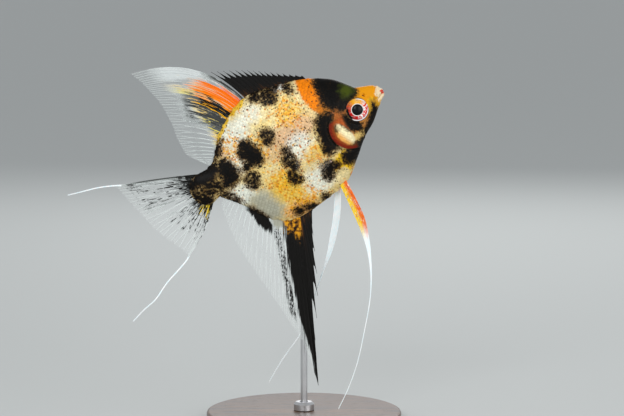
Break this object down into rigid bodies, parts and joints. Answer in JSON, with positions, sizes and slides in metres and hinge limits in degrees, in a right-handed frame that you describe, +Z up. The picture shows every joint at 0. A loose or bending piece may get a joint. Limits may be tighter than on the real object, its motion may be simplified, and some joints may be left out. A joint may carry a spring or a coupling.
{
  "type": "marble angelfish, life-size model on a display stand",
  "caption": "Life-size still model of a marble angelfish in swimming pose, nose up, long fins and feelers spread, held over a round base by one slim rod.",
  "frame": {"origin": "on the floor under the rod, at the centre of the base's underside", "axes": "+X the way the fish faces, +Y its left side, +Z up"},
  "size_m": [0.1227, 0.072, 0.131],
  "materials": {
    "marbled_skin": "satin pearl with black, brown and orange marbling, fine scales",
    "orange_skin": "satin orange with black blotches",
    "cream_skin": "satin pearly cream",
    "black_skin": "satin black",
    "black_fin": "satin black, ribbed by rays",
    "orange_fin": "thin orange and yellow fin membrane",
    "clear_fin": "thin clear fin membrane over pale rays",
    "white_thread": "pale bluish white feeler",
    "eye": "clear cornea over a red and silver iris with a black pupil",
    "stand_base": "dark stained, satin varnish",
    "stand_steel": "fine brushed"
  },
  "bodies": {
    "root": {"head": "orange_skin", "upper_jaw": "cream_skin", "lower_jaw": "orange_skin", "gill_cover_right": "cream_skin", "gill_cover_left": "cream_skin", "trunk": "marbled_skin", "tail_stem": "black_skin", "eye_right": "eye", "eye_left": "eye", "dorsal_spines": "black_fin", "dorsal_fin": "clear_fin", "anal_spines": "black_fin", "anal_fin": "black_fin", "tail_fin": "clear_fin", "pectoral_fin_right": "clear_fin", "pectoral_fin_left": "clear_fin", "pelvic_fin_right": "orange_fin", "pelvic_fin_left": "white_thread", "pelvic_thread_right": "white_thread", "pelvic_thread_left": "white_thread", "tail_thread_upper": "white_thread", "tail_thread_lower": "white_thread", "stand_base": "stand_base", "stand_collar": "stand_steel", "stand_rod": "stand_steel"}
  },
  "joints": []
}
